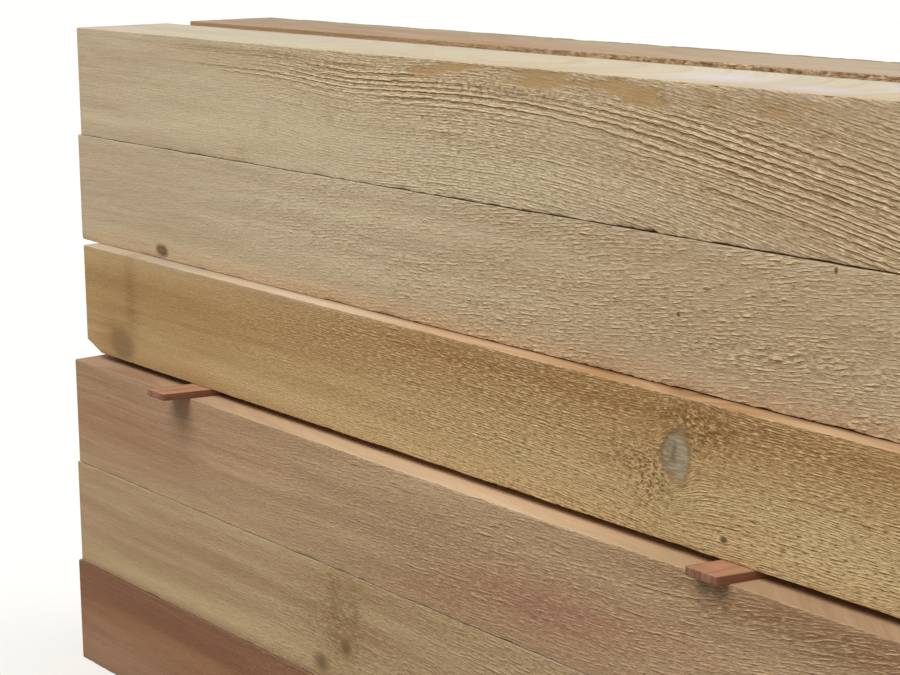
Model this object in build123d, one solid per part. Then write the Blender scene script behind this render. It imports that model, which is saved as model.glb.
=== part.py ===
from build123d import *
from dataclasses import dataclass
from math import atan2, degrees
import os

# A stack of rough-sawn cedar posts, two wide and six courses high. The upper three
# courses are a lift of their own, lying on loose laths on top of the lower lift.
# X runs along the posts from their far to their near end, Y runs from the front of
# the stack to its rear, Z is up. Everything is in millimetres.

# Posts
post_length = 2440.0       # eight foot stock
post_width = 100.0         # between the two sawn sides
post_height = 100.0        # between the planed top and underside
rear_narrower = 7.0        # how much narrower the upper lift's rear posts came off the saw
rear_unplaned = 1.1        # how much less they were planed, so the top one stands proud
arris = 0.9                # rounding of the long edges

# Laths between the two lifts
lath_width = 28.0
lath_thickness = 6.0
lath_spare_length = 46.0   # how much longer a lath is than the lower lift is wide
lath_corner = 1.5          # rounding of a lath's corners, seen from above
first_lath_inset = 209.0   # from the far end of the top front post to the first lath
last_lath_inset = 336.0    # from its near end to the last lath

# Corner broken off the lowest front post of the upper lift
chip_length = 26.0         # along the post
chip_height = 10.0         # up its front side
chip_depth = 45.0          # in along its end


@dataclass
class Lay:
    """How one post lies in its course."""

    end: float             # far end, towards the near end from the top front post's
    face: float            # front side, out from the top front post's; rear post: gap in front
    swing: float           # how much further to the rear its near end lies than its far end
    skew: float            # how far its sawn ends are out of square
    broken: bool = False   # has lost its far, lower, front corner


@dataclass
class LathLay:
    """How one lath lies between the lifts."""

    shift: float     # along the posts, from its even spacing
    overhang: float  # out from the front of the lower lift
    turn: float      # degrees, its rear end towards the near end of the stack
    skew: float      # how far its sawn ends are out of square


# From the lowest course of each lift to its highest
lower_front = [
    Lay(end=19.8, face=33.7, swing=-0.5, skew=-0.6),
    Lay(end=26.1, face=33.3, swing=0.6, skew=0.5),
    Lay(end=30.1, face=33.3, swing=0.3, skew=0.4),
]
upper_front = [
    Lay(end=23.1, face=15.4, swing=0.5, skew=0.7, broken=True),
    Lay(end=-6.1, face=0.0, swing=-0.6, skew=-0.4),
    Lay(end=0.0, face=0.0, swing=0.4, skew=0.5),
]
lower_rear = [
    Lay(end=12.0, face=2.0, swing=1.4, skew=0.8),
    Lay(end=31.0, face=1.5, swing=-1.8, skew=-0.5),
    Lay(end=5.0, face=3.0, swing=2.6, skew=0.6),
]
upper_rear = [
    Lay(end=14.0, face=2.5, swing=-2.2, skew=0.4),
    Lay(end=-3.0, face=4.0, swing=1.7, skew=-0.7),
    Lay(end=35.0, face=1.5, swing=0.8, skew=0.6),
]

# From the far end to the near one
lath_lays = [
    LathLay(shift=0.0, overhang=22.3, turn=15.5, skew=7.2),
    LathLay(shift=0.0, overhang=9.0, turn=14.5, skew=6.6),
    LathLay(shift=-14.0, overhang=17.0, turn=-5.0, skew=-3.4),
    LathLay(shift=9.0, overhang=12.0, turn=8.0, skew=5.1),
]


def make_post(width, height, lay):
    """A post with its far front corner at the origin, lying on its planed underside."""
    with BuildPart() as post:
        with BuildSketch():
            far_front = (0, 0)
            near_front = (post_length, 0)
            near_rear = (post_length + lay.skew, width)
            far_rear = (lay.skew, width)
            Polygon(far_front, near_front, near_rear, far_rear, align=None)
        extrude(amount=height)
        fillet(post.edges().filter_by(Axis.X), arris)
        if lay.broken:
            outward = Vector(1 / chip_length, 1 / chip_depth, 1 / chip_height)
            split(bisect_by=Plane(origin=(chip_length, 0, 0), z_dir=outward), keep=Keep.TOP)
    return post.part


def place_post(post, lay, face, base):
    """Lay a post down with its far front corner at the given side and height."""
    turn = degrees(atan2(lay.swing, post_length))
    return Location((lay.end, face, base), (0, 0, turn)) * post


def make_lath(length, lay):
    """A lath with the middle of its front end at the origin, turned about it."""
    half_width = lath_width / 2
    half_skew = lay.skew / 2
    with BuildPart() as lath:
        with BuildSketch():
            far_front = (-half_width, -half_skew)
            near_front = (half_width, half_skew)
            near_rear = (half_width, length + half_skew)
            far_rear = (-half_width, length - half_skew)
            Polygon(far_front, near_front, near_rear, far_rear, align=None)
        extrude(amount=lath_thickness)
        fillet(lath.edges().filter_by(Axis.Z), lath_corner)
    return Rot(0, 0, -lay.turn) * lath.part


def stack_lift(fronts, rears, rear_width, rear_height, base):
    """Courses of a front and a rear post each, the lowest at the given height."""
    front_column_rear = max(post_width - lay.face + max(0, lay.swing) for lay in fronts)
    courses = []
    for course, (front, rear) in enumerate(zip(fronts, rears)):
        front_post = make_post(post_width, post_height, front)
        front_post = place_post(front_post, front, -front.face, base + course * post_height)
        rear_face = front_column_rear + rear.face + max(0, -rear.swing)
        rear_post = make_post(rear_width, rear_height, rear)
        rear_post = place_post(rear_post, rear, rear_face, base + course * rear_height)
        courses.append((front_post, rear_post))
    return courses


lower_top = len(lower_front) * post_height
upper_base = lower_top + lath_thickness

thick_rear_width = post_width - rear_narrower
thick_rear_height = post_height + rear_unplaned
lower_lift = stack_lift(lower_front, lower_rear, post_width, post_height, 0)
upper_lift = stack_lift(upper_front, upper_rear, thick_rear_width, thick_rear_height, upper_base)

pieces = {}
for course, (front_post, rear_post) in enumerate(lower_lift + upper_lift, start=1):
    pieces[f"front_post_{course}"] = front_post
    pieces[f"rear_post_{course}"] = rear_post

lath_length = 2 * post_width + lower_rear[-1].face + lath_spare_length
lath_spacing = (post_length - first_lath_inset - last_lath_inset) / (len(lath_lays) - 1)
for number, lay in enumerate(lath_lays, start=1):
    along = first_lath_inset + (number - 1) * lath_spacing + lay.shift
    place = Location((along, -lower_front[-1].face - lay.overhang, lower_top))
    pieces[f"lath_{number}"] = place * make_lath(lath_length, lay)

# The origin is under the middle of the whole stack, on the surface it stands on
extent = Compound(list(pieces.values())).bounding_box()
to_origin = Location((-extent.center().X, -extent.center().Y, -extent.min.Z))

os.makedirs("parts", exist_ok=True)
for name, piece in pieces.items():
    export_step(to_origin * piece, f"parts/{name}.step")
    size = piece.bounding_box().size
    print(f"{name}: {size.X:.1f} x {size.Y:.1f} x {size.Z:.1f} mm")
print(f"stack: {extent.size.X:.1f} x {extent.size.Y:.1f} x {extent.size.Z:.1f} mm")
print(f"top front post's far front corner at X {to_origin.position.X:.2f}, Y {to_origin.position.Y:.2f}")
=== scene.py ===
import bpy
import bmesh
import math
from mathutils import Matrix, Vector, noise


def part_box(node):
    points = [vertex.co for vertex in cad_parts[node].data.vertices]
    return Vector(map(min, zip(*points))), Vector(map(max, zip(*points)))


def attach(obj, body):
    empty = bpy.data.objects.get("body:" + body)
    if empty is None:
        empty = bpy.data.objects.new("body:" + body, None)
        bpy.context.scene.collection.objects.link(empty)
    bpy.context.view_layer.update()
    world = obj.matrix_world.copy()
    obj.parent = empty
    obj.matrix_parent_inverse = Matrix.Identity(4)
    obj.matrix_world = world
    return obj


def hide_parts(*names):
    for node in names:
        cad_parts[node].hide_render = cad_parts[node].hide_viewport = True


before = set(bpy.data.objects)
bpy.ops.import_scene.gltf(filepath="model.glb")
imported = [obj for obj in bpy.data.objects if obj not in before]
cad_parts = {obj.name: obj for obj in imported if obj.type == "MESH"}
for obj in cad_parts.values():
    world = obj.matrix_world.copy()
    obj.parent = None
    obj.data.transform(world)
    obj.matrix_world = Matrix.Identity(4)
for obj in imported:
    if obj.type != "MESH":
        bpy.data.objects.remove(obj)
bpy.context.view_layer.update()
mm = 0.001
print("frame loaded")


def hexToLinear(code):
    channels = [int(code[i:i + 2], 16) / 255 for i in (1, 3, 5)]
    linear = [c / 12.92 if c <= 0.04045 else ((c + 0.055) / 1.055) ** 2.4 for c in channels]
    return (*linear, 1.0)


def addNode(tree, kind, inputs={}, output=0, stops=None, **settings):
    # inputs are values, hex colours or sockets to link from, stops are a ramp's hex colours or grey values
    node = tree.nodes.new("ShaderNode" + kind)
    for name, value in settings.items():
        setattr(node, name, value)
    for name, value in inputs.items():
        if isinstance(value, bpy.types.NodeSocket):
            tree.links.new(value, node.inputs[name])
        else:
            node.inputs[name].default_value = hexToLinear(value) if isinstance(value, str) else value
    if stops:
        ramp = node.color_ramp.elements
        while len(ramp) < len(stops):
            ramp.new(1.0)
        for element, (place, shade) in zip(ramp, stops):
            element.position = place
            element.color = hexToLinear(shade) if isinstance(shade, str) else (shade, shade, shade, 1.0)
    return node.outputs[output]


ofColours = {"data_type": "RGBA", "output": 2}  # makes a Mix node mix colours, not values


def newMaterial(name):
    material = bpy.data.materials.new(name)
    material.use_nodes = True
    material.node_tree.nodes.clear()
    return material, material.node_tree


def finishMaterial(tree, inputs):
    shader = addNode(tree, "BsdfPrincipled", inputs)
    end = tree.nodes.new("ShaderNodeOutputMaterial")
    tree.links.new(shader, end.inputs["Surface"])


def finishWood(tree, colour, height, roughness, sheen=0.5):
    # height is the relief, in mm
    bump = addNode(tree, "Bump", {"Height": height, "Strength": 1.0, "Distance": mm})
    finishMaterial(tree, {"Base Color": colour, "Roughness": roughness, "IOR": 1.5,
                          "Specular IOR Level": sheen, "Normal": bump})


def addObject(name, data):
    added = bpy.data.objects.new(name, data)
    bpy.context.scene.collection.objects.link(added)
    return added


# Camera

cameraLook = {
    "place": (0.42343, -0.99176, 0.71718),  # m
    "heading": 50.496,                      # degrees from +Y towards -X
    "down": 12.336,                         # degrees below the horizon
    "roll": -0.242,                         # degrees
    "lens": 79.40,                          # mm, on a sensor 36 mm wide
}


def makeCamera(look):
    data = bpy.data.cameras.new("camera")
    data.sensor_width = 36
    data.lens = look["lens"]
    data.clip_start = 0.02
    data.clip_end = 200
    camera = addObject("camera", data)
    heading = Matrix.Rotation(math.radians(look["heading"]), 4, "Z")
    tilt = Matrix.Rotation(math.radians(90 - look["down"]), 4, "X")
    roll = Matrix.Rotation(math.radians(look["roll"]), 4, "Z")
    camera.matrix_world = Matrix.Translation(look["place"]) @ heading @ tilt @ roll
    bpy.context.scene.camera = camera


makeCamera(cameraLook)
print("camera made")


# Floor, lamps and world

studioLook = {
    "floor": "#dcdbd7",
    "floorShade": "#8c8a86",  # what light bounces off, so that little comes up from below
    "floorSize": 60.0,        # m
    "floorDrop": 0.2,         # mm, so that the undersides don't lie in its plane
    "world": "#f2f4f7",
    "worldStrength": 0.42,
    "keyStrength": 3.4,       # from above and in front
    "keyFrom": (-0.15, -0.55, 1.0),
    "keySpread": 45.0,        # degrees across, for soft shadows
    "fillStrength": 1.1,      # on the back and the near ends
    "fillFrom": (0.7, 1.0, 0.45),
    "fillSpread": 60.0,
}


def seenDirectly(tree):
    # 1 for rays from the camera, straight or by way of a gloss or a glass
    path = tree.nodes.new("ShaderNodeLightPath").outputs
    seen = addNode(tree, "Math", {0: path["Is Camera Ray"], 1: path["Is Glossy Ray"]}, operation="ADD")
    return addNode(tree, "Math", {0: seen, 1: path["Is Transmission Ray"]}, operation="ADD", use_clamp=True)


def makeFloor(look):
    bm = bmesh.new()
    bmesh.ops.create_grid(bm, x_segments=1, y_segments=1, size=look["floorSize"] / 2)
    bmesh.ops.translate(bm, vec=(0, 0, -look["floorDrop"] * mm), verts=bm.verts)
    mesh = bpy.data.meshes.new("floor")
    bm.to_mesh(mesh)
    bm.free()
    floor = addObject("floor", mesh)
    material, tree = newMaterial("paleMattFloor")
    seen = seenDirectly(tree)
    colour = addNode(tree, "Mix", {0: seen, 6: look["floorShade"], 7: look["floor"]}, **ofColours)
    finishMaterial(tree, {"Base Color": colour, "Roughness": 0.9})
    mesh.materials.append(material)


def makeSun(name, strength, comesFrom, spread):
    data = bpy.data.lights.new(name, "SUN")
    data.energy = strength
    data.angle = math.radians(spread)
    lamp = addObject(name, data)
    lamp.rotation_mode = "QUATERNION"
    lamp.rotation_quaternion = Vector(comesFrom).to_track_quat("Z", "Y")


def makeWorld(look):
    world = bpy.data.worlds.new("world")
    world.use_nodes = True
    bpy.context.scene.world = world
    tree = world.node_tree
    tree.nodes.clear()
    light = addNode(tree, "Background", {"Color": look["world"], "Strength": look["worldStrength"]})
    backdrop = addNode(tree, "Background", {"Color": look["floor"], "Strength": 1.0})
    both = addNode(tree, "MixShader", {0: seenDirectly(tree), 1: light, 2: backdrop})
    end = tree.nodes.new("ShaderNodeOutputWorld")
    tree.links.new(both, end.inputs["Surface"])


makeFloor(studioLook)
makeSun("keyLamp", studioLook["keyStrength"], studioLook["keyFrom"], studioLook["keySpread"])
makeSun("fillLamp", studioLook["fillStrength"], studioLook["fillFrom"], studioLook["fillSpread"])
makeWorld(studioLook)
bpy.context.scene.view_settings.view_transform = "Standard"
print("floor, lamps and world made")


# Cedar: what every face of a post reads from its mesh

def growthRings(tree, look):
    # the grain attribute holds each point's place in the log, in mm: along it, and sideways and up
    # from its pith
    grain = addNode(tree, "Attribute", output="Vector", attribute_name="grain")
    along = addNode(tree, "SeparateXYZ", {0: grain}, output="X")
    across = addNode(tree, "VectorMath", {0: grain, 1: (0, 1, 1)}, operation="MULTIPLY")
    radius = addNode(tree, "VectorMath", {0: across}, output="Value", operation="LENGTH")
    rings = addNode(tree, "Math", {0: radius, 1: look["ringWidth"]}, operation="DIVIDE")
    return along, radius, rings


def streakNoise(tree, along, across, length, width, detail, seed):
    # noise drawn out along the grain, its length and width in the units of along and across
    x = addNode(tree, "Math", {0: along, 1: length}, operation="DIVIDE")
    y = addNode(tree, "Math", {0: across, 1: width}, operation="DIVIDE")
    place = addNode(tree, "CombineXYZ", {0: x, 1: y, 2: seed})
    return addNode(tree, "TexNoise", {"Vector": place, "Scale": 1.0, "Detail": detail})


def addStainsAndPaintedLight(tree, colour, streaks):
    # the attribute holds the colour of stains and of painted shade and light, and, as alpha, how much of it
    # there is
    stainAndPaintedLight = addNode(tree, "Attribute", attribute_name="stainAndPaintedLight", output="Color")
    amount = addNode(tree, "Attribute", attribute_name="stainAndPaintedLight", output="Alpha")
    broken = addNode(tree, "MapRange", {0: streaks, 1: 0.25, 2: 0.75, 3: 0.6, 4: 1.4})
    amount = addNode(tree, "Math", {0: amount, 1: broken}, operation="MULTIPLY", use_clamp=True)
    return addNode(tree, "Mix", {0: amount, 6: colour, 7: stainAndPaintedLight}, **ofColours)


def tornStrokes(tree, phase, along, length, fill, seed):
    # one row of broken strokes for each whole number of the phase: a pale frayed crest with a painted
    # highlight, sharp along its lower border, and under that painted shade: a dark line that fades downwards
    # into a brown band; more fill leaves fewer breaks in a row
    number = addNode(tree, "Math", {0: phase}, operation="FLOOR")
    within = addNode(tree, "Math", {0: phase}, operation="FRACT")
    broken = streakNoise(tree, along, number, length=length, width=0.73, detail=1.5, seed=seed)
    broken = addNode(tree, "Math", {0: broken, 1: fill}, operation="ADD")
    amount = addNode(tree, "MapRange", {0: broken, 1: 0.55, 2: 0.74}, interpolation_type="SMOOTHSTEP")
    crest = addNode(tree, "ValToRGB", {0: within}, stops=[(0.44, 0.0), (0.5, 1.0), (0.62, 0.7), (0.95, 0.0)])
    groove = addNode(tree, "ValToRGB", {0: within},
                     stops=[(0.0, 0.0), (0.14, 0.3), (0.32, 0.6), (0.39, 1.0), (0.43, 1.0), (0.47, 0.0)])
    height = addNode(tree, "ValToRGB", {0: within},
                     stops=[(0.0, 0.3), (0.3, 0.2), (0.36, 0.2), (0.5, 1.0), (0.62, 0.85), (1.0, 0.3)])
    height = addNode(tree, "Math", {0: height, 1: 0.3}, operation="SUBTRACT")
    parts = (crest, groove, height)
    return [addNode(tree, "Math", {0: part, 1: amount}, operation="MULTIPLY") for part in parts]


def addKnots(tree, colour, height, look, corner):
    # each knot is an oval on the front side, with a soft dark rim, fine ripples and sometimes a check
    # darkened with painted shade
    place = addNode(tree, "TexCoord", output="Object")
    # the outline is bent about every 13 mm, and the ripples are 8 mm long and 0.8 mm tall
    uneven = addNode(tree, "TexNoise", {"Vector": place, "Scale": 75.0, "Detail": 3.0}, output="Color")
    uneven = addNode(tree, "VectorMath", {0: uneven, 1: (0.5, 0.5, 0.5)}, operation="SUBTRACT")
    fine = addNode(tree, "VectorMath", {0: place, 1: (130, 130, 1300)}, operation="MULTIPLY")
    fine = addNode(tree, "TexNoise", {"Vector": fine, "Scale": 1.0, "Detail": 2.0})
    for knot in look["knots"]:
        centre = corner + Vector((knot["along"], 0, knot["height"])) * mm
        scale = (2 / (knot["width"] * mm), 1 / (60 * mm), 2 / (knot["tall"] * mm))
        offset = addNode(tree, "VectorMath", {0: place, 1: centre}, operation="SUBTRACT")
        offset = addNode(tree, "VectorMath", {0: offset, 1: scale}, operation="MULTIPLY")
        bent = {0: uneven, 1: (0.9, 0.9, 0.9), 2: offset}
        offset = addNode(tree, "VectorMath", bent, operation="MULTIPLY_ADD")
        out = addNode(tree, "VectorMath", {0: offset}, output="Value", operation="LENGTH")
        sideways = addNode(tree, "SeparateXYZ", {0: offset}, output="X")
        upwards = addNode(tree, "SeparateXYZ", {0: offset}, output="Z")
        body = addNode(tree, "MapRange", {0: sideways, 1: -1.0, 2: 0.1})
        body = addNode(tree, "Mix", {0: body, 6: knot["flank"], 7: knot["colour"]}, **ofColours)
        ripple = addNode(tree, "MapRange", {0: fine, 1: 0.5, 2: 0.64, 3: 0.0, 4: 0.7})
        body = addNode(tree, "Mix", {0: ripple, 6: body, 7: knot["ripple"]}, **ofColours)
        # a check down the knot, darkened with painted shade
        crack = addNode(tree, "Math", {0: sideways}, operation="ABSOLUTE")
        reach = addNode(tree, "Math", {0: upwards}, operation="ABSOLUTE")
        reach = addNode(tree, "MapRange", {0: reach, 1: 0.2, 2: 0.55, 3: knot["check"], 4: 0.0})
        crack = addNode(tree, "MapRange", {0: crack, 1: 0.02, 2: 0.3, 3: 1.0, 4: 0.0},
                        interpolation_type="SMOOTHSTEP")
        crack = addNode(tree, "Math", {0: crack, 1: reach}, operation="MULTIPLY")
        body = addNode(tree, "Mix", {0: crack, 6: body, 7: look["seamShade"]}, **ofColours)
        soft = knot["soft"]
        inside = addNode(tree, "MapRange", {0: out, 1: 1.0 + soft, 2: 1.0 - soft},
                         interpolation_type="SMOOTHSTEP")
        rim = addNode(tree, "Math", {0: out, 1: 1.0}, operation="SUBTRACT")
        rim = addNode(tree, "Math", {0: rim}, operation="ABSOLUTE")
        rim = addNode(tree, "MapRange", {0: rim, 1: 0.0, 2: soft * 1.6, 3: 0.5, 4: 0.0},
                      interpolation_type="SMOOTHSTEP")
        colour = addNode(tree, "Mix", {0: inside, 6: colour, 7: body}, **ofColours)
        colour = addNode(tree, "Mix", {0: rim, 6: colour, 7: knot["rim"]}, **ofColours)
        flat = addNode(tree, "Math", {0: fine, 1: 0.22}, operation="MULTIPLY")
        flat = addNode(tree, "Math", {0: crack, 1: -0.6, 2: flat}, operation="MULTIPLY_ADD")
        height = addNode(tree, "Mix", {0: inside, 2: height, 3: flat})
    return colour, height


# Rough-sawn cedar: matt, and torn along the grain, so that it shows broken lips with a pale frayed
# crest under a painted highlight, above a thin dark groove of painted shade, on an even, finely streaked
# ground

def makeSawnCedar(name, look, corner):
    material, tree = newMaterial(name)
    along, radius, rings = growthRings(tree, look)
    seed = look["seed"]
    surface = addNode(tree, "Attribute", output="Vector", attribute_name="surface")
    whole = addNode(tree, "SeparateXYZ", {0: surface}, output="X")
    curl = addNode(tree, "SeparateXYZ", {0: surface}, output="Y")
    torn = addNode(tree, "SeparateXYZ", {0: surface}, output="Z")
    seam = addNode(tree, "Attribute", output="Fac", attribute_name="seam")
    bold = addNode(tree, "Attribute", output="Fac", attribute_name="bold")

    # in mm, with the fibres and the grit drawn coarser than they are, as they would be too fine to show
    broad = streakNoise(tree, along, radius, length=330, width=17, detail=3.0, seed=seed)
    streaks = streakNoise(tree, along, radius, length=110, width=3.2, detail=3.0, seed=seed + 3)
    fibres = streakNoise(tree, along, radius, length=16, width=0.55, detail=2.0, seed=seed + 13)
    grit = streakNoise(tree, along, radius, length=2.6, width=0.7, detail=2.0, seed=seed + 19)
    fuzz = streakNoise(tree, along, radius, length=look["fuzzLength"], width=0.9, detail=3.0, seed=seed + 31)

    # a long stroke along each ring, and finer, shorter ones between them
    jagged = streakNoise(tree, along, radius, length=9, width=6, detail=3.0, seed=seed + 5)
    rings = addNode(tree, "Math", {0: jagged, 1: look["lipJagged"], 2: rings}, operation="MULTIPLY_ADD")
    uneven = streakNoise(tree, along, radius, length=700, width=11, detail=1.0, seed=seed + 37)
    rings = addNode(tree, "Math", {0: uneven, 1: look["ringUneven"], 2: rings}, operation="MULTIPLY_ADD")
    fill = addNode(tree, "Math", {0: bold, 1: look["boldFill"], 2: look["lipFill"]}, operation="MULTIPLY_ADD")
    strokes = tornStrokes(tree, rings, along, look["lipLength"], fill, seed + 7)
    plain = addNode(tree, "MapRange", {0: bold, 1: 0.0, 2: 1.0, 3: look["lipPlain"], 4: 1.0})
    strokes = [addNode(tree, "Math", {0: part, 1: plain}, operation="MULTIPLY") for part in strokes]
    lipCrest, lipGroove, lip = strokes
    wavy = streakNoise(tree, along, radius, length=22, width=8, detail=3.0, seed=seed + 11)
    phase = addNode(tree, "Math", {0: along, 1: look["rippleSlope"], 2: radius}, operation="MULTIPLY_ADD")
    phase = addNode(tree, "Math", {0: phase, 1: look["ripplePitch"]}, operation="DIVIDE")
    phase = addNode(tree, "Math", {0: wavy, 1: look["rippleWavy"], 2: phase}, operation="MULTIPLY_ADD")
    strokes = tornStrokes(tree, phase, along, look["rippleLength"], look["rippleFill"], seed + 9)
    rippleCrest, rippleGroove, ripple = strokes
    place = addNode(tree, "TexCoord", output="Object")
    place = addNode(tree, "VectorMath", {0: place, 1: (0.55, 1.0, 1.0)}, operation="MULTIPLY")
    curls = addNode(tree, "TexNoise", {"Vector": place, "Scale": 1000 / look["curlSize"], "Detail": 4.0,
                                       "Distortion": 0.5})

    # relief in mm
    height = addNode(tree, "Math", {0: lip, 1: look["lipHeight"]}, operation="MULTIPLY")
    height = addNode(tree, "Math", {0: ripple, 1: look["rippleHeight"], 2: height}, operation="MULTIPLY_ADD")
    height = addNode(tree, "Math", {0: fuzz, 1: look["fuzzHeight"], 2: height}, operation="MULTIPLY_ADD")
    height = addNode(tree, "Math", {0: grit, 1: 0.4, 2: height}, operation="MULTIPLY_ADD")
    height = addNode(tree, "Math", {0: height, 1: torn}, operation="MULTIPLY")
    height = addNode(tree, "Math", {0: fibres, 1: 0.3, 2: height}, operation="MULTIPLY_ADD")
    curled = addNode(tree, "Math", {0: curls, 1: curl}, operation="MULTIPLY")
    height = addNode(tree, "Math", {0: curled, 1: look["curlHeight"], 2: height}, operation="MULTIPLY_ADD")

    # colour, with painted highlights on raised crests and painted shade in grooves, hollows and gaps
    shades = [(0.36, look["dark"]), (0.5, look["mid"]), (0.64, look["light"])]
    colour = addNode(tree, "ValToRGB", {0: broad}, stops=shades)
    streak = addNode(tree, "MapRange", {0: streaks, 1: 0.5, 2: 0.72, 3: 0.0, 4: look["streakAmount"]})
    colour = addNode(tree, "Mix", {0: streak, 6: colour, 7: look["late"]}, **ofColours)
    colour = addStainsAndPaintedLight(tree, colour, streaks)
    colour = addNode(tree, "Mix", {0: whole, 6: colour, 7: look["whole"]}, **ofColours)
    grey = addNode(tree, "MapRange", {0: fibres, 1: 0.3, 2: 0.7, 3: 0.78, 4: 1.16})
    fleck = addNode(tree, "MapRange", {0: grit, 1: 0.3, 2: 0.7, 3: 0.74, 4: 1.2})
    grey = addNode(tree, "Math", {0: grey, 1: fleck}, operation="MULTIPLY")
    clear = addNode(tree, "MapRange", {0: torn, 1: 0.0, 2: 0.9, 3: 0.3, 4: 1.0})
    grey = addNode(tree, "Mix", {0: clear, 2: 1.0, 3: grey})
    colour = addNode(tree, "VectorMath", {0: colour, 3: grey}, operation="SCALE")
    # fuzz: pale frayed fibres with a painted highlight on its raised bits, and painted shade on its sunk ones
    fuzzAmount = addNode(tree, "Math", {0: torn, 1: look["fuzzAmount"]}, operation="MULTIPLY")
    raised = addNode(tree, "MapRange", {0: fuzz, 1: 0.53, 2: 0.66})
    raised = addNode(tree, "Math", {0: raised, 1: fuzzAmount}, operation="MULTIPLY", use_clamp=True)
    colour = addNode(tree, "Mix", {0: raised, 6: colour, 7: look["frayHighlight"]}, **ofColours)
    sunk = addNode(tree, "MapRange", {0: fuzz, 1: 0.47, 2: 0.34})
    sunk = addNode(tree, "Math", {0: sunk, 1: fuzzAmount}, operation="MULTIPLY", use_clamp=True)
    colour = addNode(tree, "Mix", {0: sunk, 6: colour, 7: look["shade"]}, **ofColours)
    # painted highlight on the crests of the lips and the ripples, over pale frayed fibres
    crest = addNode(tree, "Math", {0: lipCrest, 1: rippleCrest}, operation="MAXIMUM")
    crest = addNode(tree, "Math", {0: crest, 1: torn}, operation="MULTIPLY")
    crest = addNode(tree, "Math", {0: crest, 1: look["frayHighlightAmount"]}, operation="MULTIPLY", use_clamp=True)
    colour = addNode(tree, "Mix", {0: crest, 6: colour, 7: look["frayHighlight"]}, **ofColours)
    # painted shade in the grooves under the lips and the ripples
    groove = addNode(tree, "Math", {0: rippleGroove, 1: 0.75}, operation="MULTIPLY")
    groove = addNode(tree, "Math", {0: lipGroove, 1: groove}, operation="MAXIMUM")
    groove = addNode(tree, "Math", {0: groove, 1: torn}, operation="MULTIPLY")
    groove = addNode(tree, "Math", {0: groove, 1: look["shadeAmount"]}, operation="MULTIPLY", use_clamp=True)
    colour = addNode(tree, "Mix", {0: groove, 6: colour, 7: look["shade"]}, **ofColours)
    # curled grain: a painted highlight on its crests, and painted shade in its hollows
    curled = addNode(tree, "MapRange", {0: curls, 1: 0.54, 2: 0.68, 3: 0.0, 4: 0.75})
    curled = addNode(tree, "Math", {0: curled, 1: curl}, operation="MULTIPLY", use_clamp=True)
    colour = addNode(tree, "Mix", {0: curled, 6: colour, 7: look["frayHighlight"]}, **ofColours)
    curled = addNode(tree, "MapRange", {0: curls, 1: 0.5, 2: 0.38})
    curled = addNode(tree, "Math", {0: curled, 1: curl}, operation="MULTIPLY", use_clamp=True)
    colour = addNode(tree, "Mix", {0: curled, 6: colour, 7: look["curlShade"]}, **ofColours)
    # painted shade along the gaps between the courses and in the nicks, with a ragged border
    edge = addNode(tree, "Math", {0: jagged, 1: 0.9, 2: seam}, operation="MULTIPLY_ADD")
    edge = addNode(tree, "MapRange", {0: edge, 1: 1.2, 2: 1.4}, interpolation_type="SMOOTHSTEP")
    colour = addNode(tree, "Mix", {0: edge, 6: colour, 7: look["seamShade"]}, **ofColours)
    colour, height = addKnots(tree, colour, height, look, corner)
    sheen = addNode(tree, "MapRange", {0: edge, 1: 0.0, 2: 1.0, 3: 0.5, 4: 0.0})
    finishWood(tree, colour, height, roughness=0.85, sheen=sheen)
    return material


# Planed cedar: paler and even, with the rings as thin lines and a faint satin

def makePlanedCedar(name, look):
    material, tree = newMaterial(name)
    along, radius, rings = growthRings(tree, look)
    seed = look["seed"]
    broad = streakNoise(tree, along, radius, length=500, width=16, detail=3.0, seed=seed + 23)
    streaks = streakNoise(tree, along, radius, length=130, width=2.4, detail=3.0, seed=seed + 29)
    fibres = streakNoise(tree, along, radius, length=30, width=0.5, detail=2.0, seed=seed + 31)
    within = addNode(tree, "Math", {0: rings}, operation="FRACT")
    seam = addNode(tree, "Attribute", output="Fac", attribute_name="seam")
    colour = addNode(tree, "ValToRGB", {0: broad}, stops=[(0.38, look["planedDark"]), (0.62, look["planed"])])
    hard = addNode(tree, "ValToRGB", {0: within}, stops=[(0.0, 0.7), (0.08, 0.0), (0.7, 0.0), (1.0, 1.0)])
    hard = addNode(tree, "Math", {0: hard, 1: look["planedRings"]}, operation="MULTIPLY")
    colour = addNode(tree, "Mix", {0: hard, 6: colour, 7: look["late"]}, **ofColours)
    streak = addNode(tree, "MapRange", {0: streaks, 1: 0.52, 2: 0.7, 3: 0.0, 4: look["planedStreaks"]})
    colour = addNode(tree, "Mix", {0: streak, 6: colour, 7: look["late"]}, **ofColours)
    colour = addStainsAndPaintedLight(tree, colour, streaks)
    grey = addNode(tree, "MapRange", {0: fibres, 1: 0.3, 2: 0.7, 3: 0.94, 4: 1.05})
    colour = addNode(tree, "VectorMath", {0: colour, 3: grey}, operation="SCALE")
    # painted shade along the gaps at the edges
    colour = addNode(tree, "Mix", {0: seam, 6: colour, 7: look["seamShade"]}, **ofColours)
    height = addNode(tree, "Math", {0: fibres, 1: 0.06}, operation="MULTIPLY")
    finishWood(tree, colour, height, roughness=0.62)
    return material


# Crosscut cedar: the ends show the rings as arcs, darker than the faces, scratched by the saw

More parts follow.
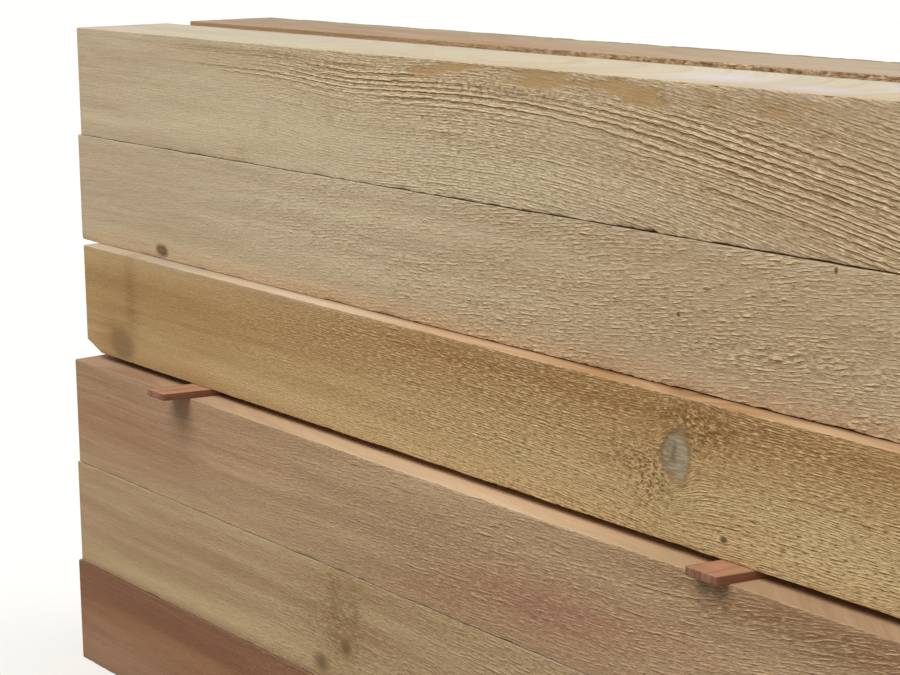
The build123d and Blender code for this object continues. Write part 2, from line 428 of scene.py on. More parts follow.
def makeEndCedar(name, look):
    material, tree = newMaterial(name)
    rings = growthRings(tree, look)[-1]
    within = addNode(tree, "Math", {0: rings}, operation="FRACT")
    shades = [(0.0, look["mid"]), (0.7, look["mid"]), (1.0, look["late"])]
    colour = addNode(tree, "ValToRGB", {0: within}, stops=shades)
    # the scratches are 17 mm long and 1 mm tall
    place = addNode(tree, "TexCoord", output="Object")
    scratched = addNode(tree, "VectorMath", {0: place, 1: (60, 60, 900)}, operation="MULTIPLY")
    scratches = addNode(tree, "TexNoise", {"Vector": scratched, "Scale": 1.0, "Detail": 2.0})
    grey = addNode(tree, "MapRange", {0: scratches, 1: 0.3, 2: 0.7, 3: 0.74, 4: 0.92})
    colour = addNode(tree, "VectorMath", {0: colour, 3: grey}, operation="SCALE")
    height = addNode(tree, "Math", {0: scratches, 1: 0.12}, operation="MULTIPLY")
    finishWood(tree, colour, height, roughness=0.9)
    return material


# Posts

plainPost = {
    "slot": "brown_cedar",
    "seed": 1.0,
    "light": "#b8a183", "mid": "#b0987a", "dark": "#a68e6f",  # ground of the sawn sides
    "late": "#957a58", "streakAmount": 0.35,                  # late wood, and how much of it is in streaks
    "frayHighlight": "#dfc99f", "frayHighlightAmount": 0.6,                     # torn crests: pale frayed fibres with a painted highlight
    "shade": "#7c5628", "shadeAmount": 1.0,                   # painted shade in the grooves under them
    "whole": "#ad8c5e",                                       # where it isn't torn
    "curlShade": "#775227",                                   # painted shade in the hollows of curled grain
    "seamShade": "#5f4226",                                   # painted shade on edges beside a gap, and in checks in knots
    # planed top and underside: colours, and how much of late wood is in rings and streaks
    "planed": "#bfb39a", "planedDark": "#b4a68a", "planedRings": 0.2, "planedStreaks": 0.15,
    # growth rings, in mm: places along the post with the depth and height of the pith
    "pith": [(0, 60, -110), (2440, 60, -80)],
    "ringWidth": 3.2, "ringWander": 3.0,
    # tear-out, in mm: long lips on the rings, and ripples between them
    "lipHeight": 0.45, "lipLength": 30, "lipFill": 0.04, "lipJagged": 0.5, "lipPlain": 1.0,
    "boldFill": 0.23, "ringUneven": 2.0,
    "rippleHeight": 0.4, "ripplePitch": 2.8, "rippleLength": 12, "rippleFill": 0.1, "rippleSlope": 0.0,
    "rippleWavy": 1.5,
    "drift": 0.0,     # slope of the bands that are torn more, if there are any
    # fuzz between the strokes, and curled grain
    "fuzzLength": 6.0, "fuzzHeight": 0.35, "fuzzAmount": 0.5, "curlSize": 3.4, "curlHeight": 2.0,
    "tornFar": 0.12,  # at the far end, where the saw went slower, against 1 further along
    # in mm: where along the post the tear-out and the gaps grow to their full strength, the deepest
    # relief, how far in from a sawn face it fades out, and how wide the ragged edges are
    "tearGrows": (100, 680), "seamGrows": (100, 700), "deepest": 1.6, "tearDepth": 0.9, "edgeReach": 3,
    # patches: colour of stains and of painted shade and light, not torn at all, curled grain, torn more or
    # with a minus less, and where the long lips are unbroken and at their strongest
    "stainsAndPaintedLight": [], "smooth": [], "curly": [], "rougher": [], "bold": [],
    # out of the upper and the lower edge, darkened with painted shade, each with its place, half length and
    # depth in mm
    "nicks": [], "lowNicks": [],
    "knots": [],
    "broken": None,   # how far a broken corner runs along the post, in along its end and up, in mm
    "seams": (1, 1),  # how much painted shade darkens the gap along the bottom and the top of the front side
    "arris": 0.9,     # mm, rounding of the long edges
    # faces: the cells' length over the first metre and past it, and rows up each side
    "fineLength": 1000, "fineCell": 4.0, "coarseCell": 12.0, "frontRows": 48, "rearRows": 4, "acrossCuts": 6,
}

rearPost = dict(plainPost, frontRows=3, rearRows=40, fineCell=8, coarseCell=8)


def patch(at, reach, amount, colour=None):
    # a soft-edged patch of a post: where its middle is from the far, lower, front corner and how far it
    # reaches, both in mm along, in from the front side and up
    return {"at": at, "reach": reach, "amount": amount, "colour": colour}


def pinKnot(along, height, width=2.6, tall=2.6):
    return dict(along=along, height=height, width=width, tall=tall, colour="#54402a", flank="#54402a",
                ripple="#54402a", rim="#7a6244", check=0.0, soft=0.5)


posts = {
    "front_post_6": dict(
        plainPost, slot="pale_cedar", seed=1.0, seams=(1, 0), acrossCuts=16,
        light="#c2af8f", mid="#bca787", dark="#b09a7a",
        pith=[(0, 50, -170), (300, 50, -170), (430, 50, -177.5), (560, 50, -174), (1500, 50, -298),
              (2440, 50, -280)],
        ringWidth=4.3, ringWander=1.0, lipLength=70, lipHeight=0.9, lipFill=0.08, lipPlain=0.5,
        lipJagged=0.6, fuzzAmount=0.8, rippleHeight=0.5, ripplePitch=2.1, rippleLength=12, rippleFill=0.14,
        curlSize=2.6,
        bold=[patch((420, 0, 78), (110, 30, 9), 0.8), patch((540, 0, 77), (110, 30, 10), 0.8),
              patch((670, 0, 70), (90, 30, 10), 1.0), patch((780, 0, 62), (80, 30, 14), 1.0),
              patch((880, 0, 45), (80, 30, 24), 1.0), patch((960, 0, 30), (70, 30, 40), 0.8),
              patch((270, 0, 92), (90, 30, 3), 0.9), patch((260, 0, 77), (80, 30, 3), 0.7)],
        rougher=[patch((420, 0, 80), (130, 30, 14), 1.0), patch((370, 0, 25), (160, 30, 35), -0.45),
                 patch((260, 0, 77), (90, 30, 3), 1.5), patch((870, 0, 92), (110, 30, 15), -0.45)],
        smooth=[patch((515, 0, 91), (22, 20, 4), 0.8), patch((548, 0, 96), (24, 20, 4), 0.8),
                patch((640, 0, 93), (45, 20, 6.5), 0.8), patch((725, 0, 92), (30, 20, 7.5), 0.8),
                patch((755, 0, 84), (18, 20, 4), 0.6), patch((850, 0, 89), (80, 20, 12), 0.36)],
        curly=[patch((630, 0, 82), (100, 20, 4), 0.7), patch((560, 0, 84), (40, 20, 6), 0.5),
               patch((765, 0, 92), (14, 20, 6), 0.5), patch((818, 0, 92), (12, 20, 6), 0.5)],
        nicks=[(692, 12, 0.6), (775, 9, 1.0), (802, 12, 1.0), (893, 11, 1.0), (935, 7, 0.9)],
        lowNicks=[(664, 12, 0.7), (752, 4, 1.3)],
        stainsAndPaintedLight=[
            patch((900, 0, 40), (170, 30, 70), 0.85, "#a98b68"),
            patch((560, 0, 96), (200, 30, 12), 0.4, "#ae9268"),
            patch((250, 0, 84), (170, 30, 22), 0.3, "#ccba99"),
            patch((290, 0, 30), (180, 30, 40), 0.5, "#ccba98"),
            patch((800, 0, 88), (10, 20, 8), 0.8, "#9c7a4e"),
            patch((830, 0, 76), (16, 20, 3.5), 0.8, "#9c7a4e"),
            patch((856, 0, 88), (18, 20, 7), 0.8, "#9c7a4e"),
            patch((893, 0, 75), (18, 20, 4), 0.8, "#9c7a4e"),
            patch((120, 50, 101), (300, 80, 3), 0.8, "#a69a84"),
            patch((620, 0, 18), (170, 30, 28), 0.7, "#c4b494"),
            patch((220, 0, 92.6), (70, 30, 1.7), 1.0, "#7f5c30"),
            patch((330, 0, 92.4), (55, 30, 1.7), 1.0, "#7f5c30"),
            patch((405, 0, 89.5), (35, 30, 1.7), 0.8, "#7f5c30"),
            patch((250, 0, 79), (100, 30, 1.6), 0.8, "#8c6c42"),
            patch((395, 0, 48), (6, 30, 5), 0.6, "#97825c"),
            patch((305, 0, 35), (6, 30, 5), 0.6, "#97825c"),
            patch((270, 0, 10), (8, 30, 4), 0.6, "#97825c"),
            patch((772, 40, 101), (34, 22, 3), 0.75, "#c6bdce"),
            patch((868, 20, 101), (34, 15, 3), 0.7, "#c6bdce"),
            patch((908, 72, 101), (26, 18, 3), 0.7, "#c6bdce"),
        ],
    ),
    "front_post_5": dict(
        plainPost, slot="pale_cedar", seed=41.0, seams=(1, 0.4),
        light="#c5b292", mid="#beaa8b", dark="#b6a182", seamShade="#3b230a",
        pith=[(0, 60, -150), (2440, 60, -130)], ringWidth=4.1,
        lipHeight=0.3, lipLength=12, lipFill=0.0, rippleSlope=-0.11, rippleLength=9, rippleFill=0.12,
        rippleHeight=0.4, ripplePitch=2.7, drift=0.45, lowNicks=[(720, 9, 0.5), (840, 6, 0.5)],
        knots=[
            dict(along=144, height=8, width=17, tall=10, colour="#5a452b", flank="#6a5233",
                 ripple="#7a6244", rim="#8a7048", check=0.0, soft=0.35),
            pinKnot(783, 49), pinKnot(912, 96, 2.4, 4),
        ],
        stainsAndPaintedLight=[
            patch((840, 0, 40), (230, 30, 80), 0.8, "#a98d6c"),
            patch((500, 0, 0), (560, 30, 11), 0.55, "#b98f60"),
            patch((100, 0, 50), (190, 30, 80), 0.6, "#ac9575"),
        ],
    ),
    "front_post_4": dict(
        plainPost, slot="golden_cedar", seed=83.0, seams=(0.35, 0), broken=(26, 45, 10),
        light="#b29362", mid="#ab8a58", dark="#a07e4c", late="#8a6638", frayHighlight="#d2b582", shade="#6d4a1e",
        curlShade="#6c4a1a", whole="#9c7038", planed="#d3b491", planedDark="#cbab86", seamShade="#3a2412",
        pith=[(0, 40, -140), (2440, 70, -150)], ringWidth=2.9, lipLength=24, lipFill=0.04,
        lipHeight=0.35, lipJagged=0.35, rippleHeight=0.4, ripplePitch=1.8, rippleLength=8,
        rippleFill=0.14, rippleWavy=1.2, fuzzAmount=0.9, fuzzHeight=0.6, curlSize=1.7, curlHeight=1.2,
        acrossCuts=32,
        knots=[
            dict(along=768, height=61, width=25, tall=37, colour="#8a7a5f", flank="#80694a", ripple="#b5a486",
                 rim="#735428", check=0.45, soft=0.2),
            pinKnot(812, 13, 5, 4),
            dict(along=65, height=15, width=27, tall=22, colour="#7f6546", flank="#7c5a32", ripple="#8a7250",
                 rim="#785a2f", check=0.0, soft=0.7),
        ],
        curly=[patch((747, 0, 40), (24, 20, 27), 1.0), patch((712, 0, 48), (34, 20, 14), 0.5),
               patch((794, 0, 76), (28, 20, 18), 1.0), patch((768, 0, 90), (40, 20, 9), 0.6),
               patch((600, 0, 8), (160, 20, 8), 0.4)],
        stainsAndPaintedLight=[
            patch((400, 0, 70), (700, 30, 18), 0.6, "#9d7848"),
            patch((100, 0, 93), (380, 30, 7), 0.6, "#b89c70"),
            patch((750, 0, 90), (380, 30, 13), 0.85, "#87591f"),
            patch((640, 0, 86), (220, 30, 3), 0.7, "#824a1a"),
            patch((800, 0, 88), (40, 30, 14), 0.6, "#7d5020"),
            patch((600, 0, 18), (420, 30, 22), 0.55, "#c4aa78"),
            # painted shadow under front_post_5's lower edge, along the back of the ledge
            patch((720, 16.5, 101), (440, 4.4, 3), 1.0, "#3d2611"),
            patch((370, 5, 101), (110, 8, 3), 0.7, "#e0cfb6"),
            patch((82, 0, 64), (10, 30, 34), 0.75, "#7c5824"),
            patch((60, 0, 45), (50, 30, 45), 0.3, "#8c6738"),
            patch((46, 0, 20), (20, 30, 20), 0.6, "#85602f"),
            patch((650, 0, 84), (340, 30, 24), 0.35, "#a0703a"),
            patch((750, 0, 48), (60, 30, 45), 0.5, "#8f6a3a"),
            patch((880, 0, 28), (230, 30, 42), 0.85, "#c6a97a"),
            patch((60, 0, 101), (320, 60, 3), 0.95, "#a59986"),
        ],
    ),
    "front_post_3": dict(
        plainPost, slot="red_cedar", seed=127.0, seams=(0.6, 0),
        light="#b49672", mid="#ab8c69", dark="#a28160", late="#8b6644", frayHighlight="#cdb089", shade="#6e4a2e",
        whole="#94694a", planed="#b99d7e", planedDark="#ac8f6b", seamShade="#4a2e1c", curlShade="#7b563a",
        pith=[(0, 50, -150), (700, 50, -145), (1400, 50, -60), (2440, 50, -90)], ringWidth=3.2,
        lipHeight=0.35, lipLength=26, lipFill=0.05, rippleSlope=-0.08, ripplePitch=2.4,
        stainsAndPaintedLight=[
            patch((650, 0, 36), (85, 30, 18), 0.85, "#94604a"),
            patch((760, 0, 48), (90, 30, 16), 0.5, "#966a50"),
            patch((70, 0, 50), (150, 30, 28), 0.75, "#8f6549"),
            patch((60, 0, 88), (130, 30, 16), 0.6, "#8a6349"),
            patch((230, 0, 72), (150, 30, 16), 0.4, "#94694d"),
            patch((900, 0, 92), (140, 30, 22), 0.9, "#7f5a38"),
            patch((300, 0, 16), (420, 30, 16), 0.45, "#9d7d5e"),
            patch((560, 0, 14), (110, 30, 22), 0.7, "#906b4b"),
            patch((60, 0, 101), (190, 60, 3), 0.85, "#876a51"),
            patch((590, 0, 101), (170, 60, 3), 0.7, "#ccb08e"),
            patch((900, 0, 101), (150, 60, 3), 0.9, "#a58a6c"),
            # painted warm bounce light in the shade under front_post_4
            patch((500, 34, 101), (700, 13, 3), 0.7, "#c98f52"),
        ],
    ),
    "front_post_2": dict(
        plainPost, slot="brown_cedar", seed=163.0, seams=(0.6, 0.6),
        light="#ae936d", mid="#a68965", dark="#9b7d58", late="#876745", frayHighlight="#cab083", shade="#6b4b2b",
        whole="#94704a", pith=[(0, 60, -90), (2440, 60, -120)], ringWidth=2.8, lipHeight=0.3,
        knots=[
            dict(along=425, height=36, width=12, tall=12, colour="#5c4426", flank="#5c4426", ripple="#74592f",
                 rim="#7a5f3a", check=0.0, soft=0.6),
            dict(along=392, height=14, width=16, tall=12, colour="#65502e", flank="#65502e", ripple="#7c6238",
                 rim="#7a5f3a", check=0.0, soft=0.7),
        ],
        stainsAndPaintedLight=[
            patch((200, 0, 14), (240, 30, 12), 0.8, "#b39a70"),
            patch((415, 0, 45), (45, 30, 32), 0.45, "#84653c"),
            patch((200, 0, 0), (400, 30, 5), 0.8, "#7b5636"),
            patch((412, 0, 62), (10, 30, 45), 0.6, "#7b5c34"),
            patch((436, 0, 62), (9, 30, 45), 0.5, "#7b5c34"),
        ],
        curly=[patch((430, 0, 55), (55, 20, 50), 0.4)],
    ),
    "front_post_1": dict(
        plainPost, slot="red_cedar", seed=199.0, seams=(1, 0.6),
        light="#8a5f3c", mid="#805533", dark="#754a2a", late="#683f28", frayHighlight="#a98363", shade="#5f3d28",
        whole="#7a4c33", planed="#a8896c", planedDark="#987a5c", seamShade="#3a2014", curlShade="#5f3d28",
        pith=[(0, 50, -190), (2440, 50, -150)], ringWidth=3.0, lipHeight=0.3,
        stainsAndPaintedLight=[
            patch((60, 0, 20), (160, 30, 30), 0.8, "#977356"),
            patch((100, 0, 92), (300, 30, 18), 0.8, "#6f452a"),
        ],
    ),
    "rear_post_6": dict(
        rearPost, slot="brown_cedar", seed=233.0, seams=(0, 0), frontRows=40, fineCell=5,
        light="#bc9870", mid="#b39069", dark="#a6835c", planed="#a7977f", planedDark="#998668",
        planedStreaks=0.5,
        curly=[patch((750, 0, 99), (330, 20, 6), 0.9)],
        stainsAndPaintedLight=[patch((150, 50, 103), (340, 90, 4), 0.85, "#7a6247"),
                patch((330, 0, 103), (330, 50, 4), 0.9, "#9a6f47")],
    ),
    "rear_post_5": dict(
        rearPost, slot="golden_cedar", seed=271.0, pith=[(0, 50, 190), (2440, 40, 180)],
        light="#a98d5e", mid="#a18352", dark="#967747", frayHighlight="#d0b27c", shade="#7c5727",
    ),
    "rear_post_4": dict(
        rearPost, slot="pale_cedar", seed=307.0, pith=[(0, -40, -90), (2440, -50, -80)],
        light="#bba686", mid="#b49e7e", dark="#ad9575",
    ),
    "rear_post_3": dict(
        rearPost, slot="brown_cedar", seed=353.0, pith=[(0, 150, -70), (2440, 140, -80)],
        light="#a68a65", mid="#9d805b", dark="#92744f",
    ),
    "rear_post_2": dict(
        rearPost, slot="red_cedar", seed=389.0, pith=[(0, 50, 170), (2440, 60, 180)],
        light="#a98c6b", mid="#a08262", dark="#977759",
    ),
    "rear_post_1": dict(
        rearPost, slot="brown_cedar", seed=419.0, pith=[(0, -30, -60), (2440, -20, -70)],
        light="#a68a65", mid="#9d805b", dark="#92744f",
    ),
}


def planCorners(node):
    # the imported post's four upright edges, by which end and which side they are at
    points = [vertex.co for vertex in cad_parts[node].data.vertices]
    return {
        (end, side): max(points, key=lambda p: end * p.x + side * p.y).xy
        for end in (-1, 1) for side in (-1, 1)
    }


def makeBlock(corners, low, high):
    # a box on the plan's four corners
    bm = bmesh.new()
    bmesh.ops.create_cube(bm, size=2)
    for vert in bm.verts:
        corner = corners[round(vert.co.x), round(vert.co.y)]
        vert.co = (corner.x, corner.y, high.z if vert.co.z > 0 else low.z)
    return bm


def roundEdges(bm, edges, radius, segments):
    bmesh.ops.bevel(bm, geom=edges, offset=radius, offset_type="OFFSET", segments=segments, profile=0.5,
                    affect="EDGES", material=-1)


def splitBy(bm, point, normal, **settings):
    everything = bm.verts[:] + bm.edges[:] + bm.faces[:]
    return bmesh.ops.bisect_plane(bm, geom=everything, plane_co=point, plane_no=normal, **settings)


def cutAcross(bm, chosen, cuts):
    # cuts the edges that chosen picks by their middle and their reach
    edges = []
    for edge in bm.edges:
        first, last = (vert.co for vert in edge.verts)
        if chosen((first + last) / 2, last - first):
            edges.append(edge)
    bmesh.ops.subdivide_edges(bm, edges=edges, cuts=cuts, use_grid_fill=True)


def makePostMesh(node, look):
    # a box with fine cells over the part that is torn most, and coarser ones behind it
    low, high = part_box(node)
    bm = makeBlock(planCorners(node), low, high)
    roundEdges(bm, [edge for edge in bm.edges if edge.calc_length() > 1], look["arris"] * mm, 2)
    split = low.x + look["fineLength"] * mm
    splitBy(bm, (split, 0, 0), (1, 0, 0))
    fineCuts = round(look["fineLength"] / look["fineCell"]) - 1
    coarseCuts = round((high.x - split) / mm / look["coarseCell"]) - 1
    cutAcross(bm, lambda middle, reach: abs(reach.x) > 0.5 and middle.x < split, fineCuts)
    cutAcross(bm, lambda middle, reach: abs(reach.x) > 0.5 and middle.x > split, coarseCuts)
    halfway = (low.y + high.y) / 2
    cutAcross(bm, lambda middle, reach: abs(reach.z) > 0.05 and middle.y < halfway, look["frontRows"])
    cutAcross(bm, lambda middle, reach: abs(reach.z) > 0.05 and middle.y > halfway, look["rearRows"])
    cutAcross(bm, lambda middle, reach: abs(reach.y) > 0.05, look["acrossCuts"])
    return bm


def gaussian(point, spot):
    # full in its middle, and nothing from three reaches out
    total = sum(((p - a) / r) ** 2 for p, a, r in zip(point, spot["at"], spot["reach"]))
    return spot["amount"] * math.exp(-total) if total < 9 else 0.0


def gaussians(point, spots):
    return sum(gaussian(point, spot) for spot in spots)


def mixStainsAndPaintedLight(point, stainsAndPaintedLight):
    # the colours of the stains and of the painted shade and light where they overlap, and how much they cover
    total = 0.0
    mixed = Vector((0, 0, 0))
    clear = 1.0
    for spot, colour in stainsAndPaintedLight:
        amount = gaussian(point, spot)
        total += amount
        clear *= 1 - amount
        mixed += Vector(colour[:3]) * amount
    mixed = mixed / total if total > 0 else mixed
    return (*mixed, 1 - clear)


def pithAt(path, x):
    # depth and height of the pith, eased between the listed places along the post
    for (x0, depth0, height0), (x1, depth1, height1) in zip(path, path[1:]):
        if x <= x1:
            break
    t = min(max((x - x0) / (x1 - x0), 0.0), 1.0)
    t = t * t * (3 - 2 * t)
    return depth0 + (depth1 - depth0) * t, height0 + (height1 - height0) * t


def rise(value, start, end):
    # 0 up to start, 1 from end on, and eased between them
    t = min(max((value - start) / (end - start), 0.0), 1.0)
    return t * t * (3 - 2 * t)


def dressPost(bm, node, look):
    low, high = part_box(node)
    corners = planCorners(node)
    start = corners[-1, -1]
    width = (corners[-1, 1] - start).y / mm
    length, swing = corners[1, -1] - start
    tall = (high.z - low.z) / mm
    seed = look["seed"]
    grainLayer = bm.verts.layers.float_vector.new("grain")
    surfaceLayer = bm.verts.layers.float_vector.new("surface")
    seamLayer = bm.verts.layers.float.new("seam")
    boldLayer = bm.verts.layers.float.new("bold")
    stainAndPaintedLightLayer = bm.verts.layers.float_color.new("stainAndPaintedLight")
    stainsAndPaintedLight = [(spot, hexToLinear(spot["colour"])) for spot in look["stainsAndPaintedLight"]]
    edgeReach = look["edgeReach"]
    for vert in bm.verts:
        x = (vert.co.x - start.x) / mm
        y = (vert.co.y - start.y - swing * (vert.co.x - start.x) / length) / mm
        z = (vert.co.z - low.z) / mm
        point = (x, y, z)

        # place in the log: the pith wanders slowly, the rings faster, and the grain is led round knots
        depth, level = pithAt(look["pith"], x)
        depth += 1.6 * look["ringWander"] * noise.noise((x / 500, seed, 0.3))
        level += 1.6 * look["ringWander"] * noise.noise((x / 420, seed, 7.7))
        level += look["ringWander"] * noise.noise((x / 130, z / 20, seed + y / 60))
        led = z
        for knot in look["knots"]:
            u = (x - knot["along"]) * 2 / knot["width"]
            v = (z - knot["height"]) * 2 / knot["tall"]
            if y < 50:
                led -= 0.7 * (z - knot["height"]) / max(u * u + v * v, 1.0)
        vert[grainLayer] = (x, y - depth, led - level)

        # stains, and where it is whole, curled, torn and bold
        vert[stainAndPaintedLightLayer] = mixStainsAndPaintedLight(point, stainsAndPaintedLight)
        whole = gaussians(point, look["smooth"])
        whole = rise(whole + 0.4 * noise.noise((x / 30, z / 5, seed + 17)), 0.34, 0.5)
        curl = gaussians(point, look["curly"])
        torn = look["tornFar"] + (1 - look["tornFar"]) * rise(x, *look["tearGrows"])
        torn *= 1 + 0.5 * noise.noise((x / 150, z / 30, seed + 21))
        torn *= max(0.0, 1 + gaussians(point, look["rougher"]))
        if look["drift"]:
            torn *= 1 + 0.7 * noise.noise((x / 60, (z - look["drift"] * x) / 9, seed + 41))
        vert[surfaceLayer] = (whole, curl, torn * (1 - 0.85 * whole) * (1 - 0.7 * min(curl, 1.0)))
        vert[boldLayer] = min(gaussians(point, look["bold"]), 1.0)

        # relief, inwards only: torn sides, ragged edges with nicks, and fine gaps between the courses, with
        # painted shade along the gaps and in the nicks
        fromSawn = min(y, width - y)
        fromPlaned = min(z, tall - z)
        inwards = 1 if y < width / 2 else -1
        upwards = 1 if z < tall / 2 else -1
        onSawn = max(0.0, 1 - fromSawn / look["tearDepth"])
        which = seed + inwards * 3.1 + upwards * 1.7
        closed = look["seams"][0 if upwards > 0 else 1] if inwards > 0 else 1
        closed *= 0.5 + 0.5 * rise(x, *look["seamGrows"])
        nicks = look["nicks"] if upwards < 0 else look["lowNicks"]
        nick = 0.0
        if inwards > 0:
            nick = gaussians((x,), [patch((at,), (reach,), deep) for at, reach, deep in nicks])
        # painted shade along the gaps and in the nicks
        dark = max(closed, nick if fromSawn < 0.5 else 0.0)
        vert[seamLayer] = dark * rise(2.2 - fromPlaned, 0, 1.8) * rise(6.0 - fromSawn, 0, 3.0)
        if onSawn > 0 and 0.5 < x < length / mm - 0.5:
            relief = 0.3 + 0.4 * noise.noise((x / 160, z / 22, which))
            relief += 0.2 * noise.noise((x / 20, z / 6, which))
            relief += curl * (0.3 + 0.9 * noise.noise((x / 7, z / 6, which)))
            vert.co.y += inwards * min(max(relief, 0.0), look["deepest"]) * onSawn * mm
        if fromSawn < edgeReach and fromPlaned < edgeReach:
            ragged = max(0.0, noise.noise((x / 22, which, 0.5)) - 0.05) * (0.5 + closed)
            ragged += max(0.0, noise.noise((x / 6, which, 4.5)) - 0.15) * (0.4 + closed)
            ragged += nick
            edge = max(0.0, 1 - math.hypot(fromSawn, fromPlaned) / edgeReach)
            vert.co.y += inwards * ragged * edge * mm
            vert.co.z += upwards * ragged * edge * 0.7 * mm
        if closed and fromPlaned < 1 and fromSawn < edgeReach:
            gap = max(0.0, 0.12 + 0.25 * noise.noise((x / 45, seed, upwards)))
            vert.co.z += upwards * gap * (1 - fromPlaned) * mm


def breakCorner(bm, node, reach):
    # reach is how far the break runs along the post, in along its end and up its front side
    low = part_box(node)[0]
    far = planCorners(node)[-1, -1]
    along, deep, up = reach
    normal = Vector((-1 / along, -1 / deep, -1 / up)).normalized()
    point = Vector((far.x + along * mm, far.y, low.z))
    cut = splitBy(bm, point, normal, clear_outer=True)
    rim = [part for part in cut["geom_cut"] if isinstance(part, bmesh.types.BMEdge)]
    filled = bmesh.ops.triangle_fill(bm, edges=rim, use_beauty=True)
    fresh = [part for part in filled["geom"] if isinstance(part, bmesh.types.BMFace)]
    inner = {edge for face in fresh for edge in face.edges
             if all(other in fresh for other in edge.link_faces)}
    split = bmesh.ops.subdivide_edges(bm, edges=list(inner), cuts=4, use_grid_fill=True)
    for part in split["geom_inner"]:
        if isinstance(part, bmesh.types.BMVert):
            part.co -= normal * (0.5 + 0.9 * noise.noise(part.co * 300)) * mm
    for face in bm.faces:
        if face.normal.dot(normal) > 0.9:  # lies in the break
            face.material_index = 0
            face.smooth = False


def markFaces(bm):
    # 0 sawn, 1 planed, 2 crosscut
    for face in bm.faces:
        n = face.normal
        face.material_index = 2 if abs(n.x) > 0.7 else 1 if abs(n.z) > abs(n.y) else 0
        face.smooth = abs(n.x) < 0.7
    for edge in bm.edges:
        if len(edge.link_faces) == 2:
            edge.smooth = edge.calc_face_angle() < math.radians(15)


def makePost(node, look):
    bm = makePostMesh(node, look)
    bm.normal_update()
    markFaces(bm)
    dressPost(bm, node, look)
    if look["broken"]:
        breakCorner(bm, node, look["broken"])
    mesh = bpy.data.meshes.new(node + "_cedar")
    bm.to_mesh(mesh)
    bm.free()
    post = addObject(node + "_cedar", mesh)
    far = planCorners(node)[-1, -1]
    corner = Vector((far.x, far.y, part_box(node)[0].z))
    mesh.materials.append(makeSawnCedar("roughSawnCedar_" + node, look, corner))
    mesh.materials.append(makePlanedCedar("planedCedar_" + node, look))
    mesh.materials.append(makeEndCedar("crosscutCedar_" + node, look))
    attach(post, "root")
    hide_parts(node)
    print(node, "made with", len(mesh.polygons), "faces")


for node, look in posts.items():
    makePost(node, look)


# Laths between the lifts: sawn red cedar with faint streaks along them, paler and dustier on top
# and dark at the ends, which the saw crossed upright

lathLook = {
    "slot": "lath_cedar",
    # each face's light and dark colour, and how wide, long and tall its streaks are in mm
    "top": ("#9d7252", "#8d6144", (3.0, 40, 3)),
    "side": ("#8f5f42", "#7a4a34", (3.0, 40, 1.2)),
    "end": ("#876044", "#6e4632", (2.2, 3.0, 16)),
    "corner": 2.0,   # mm, rounding seen from above
    "arris": 0.4,    # mm
    "uneven": 0.25,  # mm, how rough the saw left the sides
    "lengthCuts": 90, "widthCuts": 9, "heightCuts": 2,
}


def makeSawnLath(name, light, dark, size):
    material, tree = newMaterial(name)
    place = addNode(tree, "Attribute", output="Vector", attribute_name="lathPlace")
    streaks = addNode(tree, "VectorMath", {0: place, 1: size}, operation="DIVIDE")
    streaks = addNode(tree, "TexNoise", {"Vector": streaks, "Scale": 1.0, "Detail": 3.0})
    broad = addNode(tree, "TexNoise", {"Vector": place, "Scale": 0.06, "Detail": 2.0})  # in mm
    colour = addNode(tree, "ValToRGB", {0: streaks}, stops=[(0.36, dark), (0.6, light)])
    grey = addNode(tree, "MapRange", {0: broad, 1: 0.3, 2: 0.7, 3: 0.92, 4: 1.08})
    colour = addNode(tree, "VectorMath", {0: colour, 3: grey}, operation="SCALE")
    height = addNode(tree, "Math", {0: streaks, 1: 0.3}, operation="MULTIPLY")
    finishWood(tree, colour, height, roughness=0.85)
    return material


def lathPlan(node):
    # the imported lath's plan: where its sides would meet if its upright edges weren't rounded,
    # and which way a long side and an end of it face
    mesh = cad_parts[node].data
    upright = [face for face in mesh.polygons if abs(face.normal.z) < 0.1]
    upright.sort(key=lambda face: -face.area)
    facings = [face.normal.xy.normalized() for face in upright]
    side = facings[0] * math.copysign(1, facings[0].x)
    end = next(facing for facing in facings if abs(facing.dot(side)) < 0.7)
    end = end * math.copysign(1, end.y)
    points = [vertex.co.xy for vertex in mesh.vertices]
    corners = {}
    for x in (-1, 1):
        for y in (-1, 1):
            across = x * max(x * side.dot(point) for point in points)
            along = y * max(y * end.dot(point) for point in points)
            corner = across * Vector((end.y, -end.x)) + along * Vector((-side.y, side.x))
            corners[x, y] = corner / side.cross(end)
    return corners, side, end


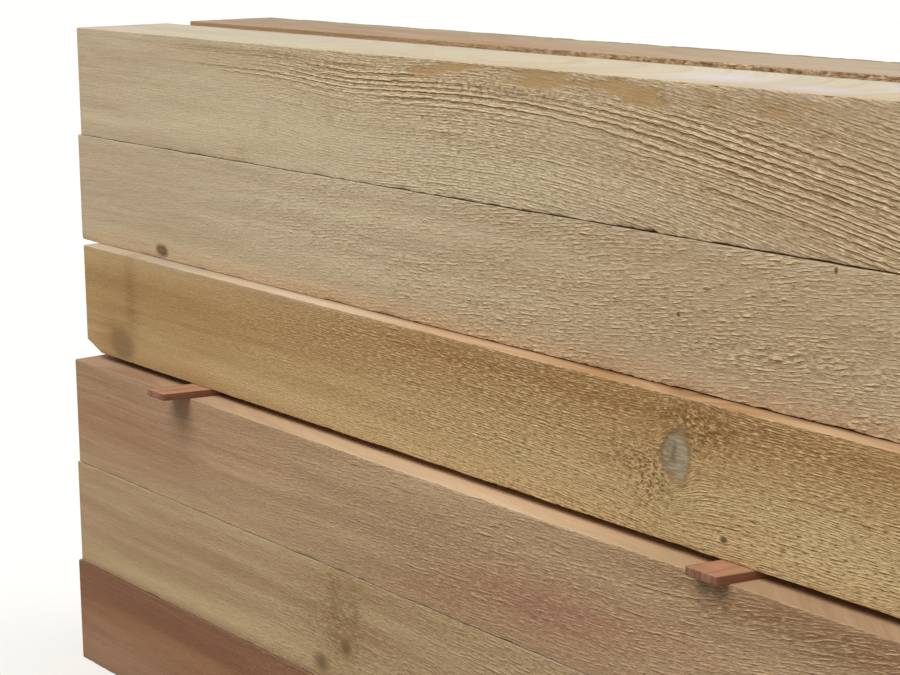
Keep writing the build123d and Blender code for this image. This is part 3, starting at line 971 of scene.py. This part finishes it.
def makeLath(node, look, seed):
    low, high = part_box(node)
    corners, side, end = lathPlan(node)
    centre = sum(corners.values(), Vector((0, 0))) / 4
    halfWidth = side.dot(corners[1, 1] - centre) / mm
    halfLength = end.dot(corners[1, 1] - centre) / mm
    bm = makeBlock(corners, low, high)
    roundEdges(bm, [edge for edge in bm.edges if edge.calc_length() < 10 * mm], look["corner"] * mm, 3)
    bm.normal_update()
    rims = [edge for edge in bm.edges if abs(sum(face.normal.z for face in edge.link_faces)) > 0.5]
    rims = [edge for edge in rims if abs(edge.verts[0].co.z - edge.verts[1].co.z) < 0.1 * mm]
    roundEdges(bm, rims, look["arris"] * mm, 2)
    cutAcross(bm, lambda middle, reach: abs(reach.y) > 0.1, look["lengthCuts"])
    cutAcross(bm, lambda middle, reach: abs(reach.x) > 10 * mm, look["widthCuts"])
    cutAcross(bm, lambda middle, reach: abs(reach.z) > 3 * mm, look["heightCuts"])
    bm.normal_update()
    placeLayer = bm.verts.layers.float_vector.new("lathPlace")
    for face in bm.faces:
        n = face.normal
        face.material_index = 1 if abs(n.z) > 0.7 else 2 if abs(end.dot(n.xy)) > abs(side.dot(n.xy)) else 0
        face.smooth = True
    for vert in bm.verts:
        offset = vert.co.xy - centre
        x, y, z = side.dot(offset) / mm, end.dot(offset) / mm, (vert.co.z - low.z) / mm
        vert[placeLayer] = (x, y, z + seed * 50)
        rough = 0.5 + noise.noise((x / 3, y / 4, seed)) + 0.4 * noise.noise((y / 25, z / 2, seed))
        rough = max(look["uneven"] * rough, 0.0) * mm
        inwards = Vector((0, 0))
        if halfWidth - abs(x) < 1:
            inwards -= side * math.copysign(rough, x)
        if halfLength - abs(y) < 1:
            inwards -= end * math.copysign(rough, y)
        vert.co.xy += inwards
    mesh = bpy.data.meshes.new(node + "_cedar")
    bm.to_mesh(mesh)
    bm.free()
    lath = addObject(node + "_cedar", mesh)
    for material in lathCedar:
        mesh.materials.append(material)
    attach(lath, "root")
    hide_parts(node)


lathCedar = [makeSawnLath("sawnLathCedar_" + face, *lathLook[face]) for face in ("side", "top", "end")]
for number in range(1, 5):
    makeLath("lath_" + str(number), lathLook, number)
print("laths made")
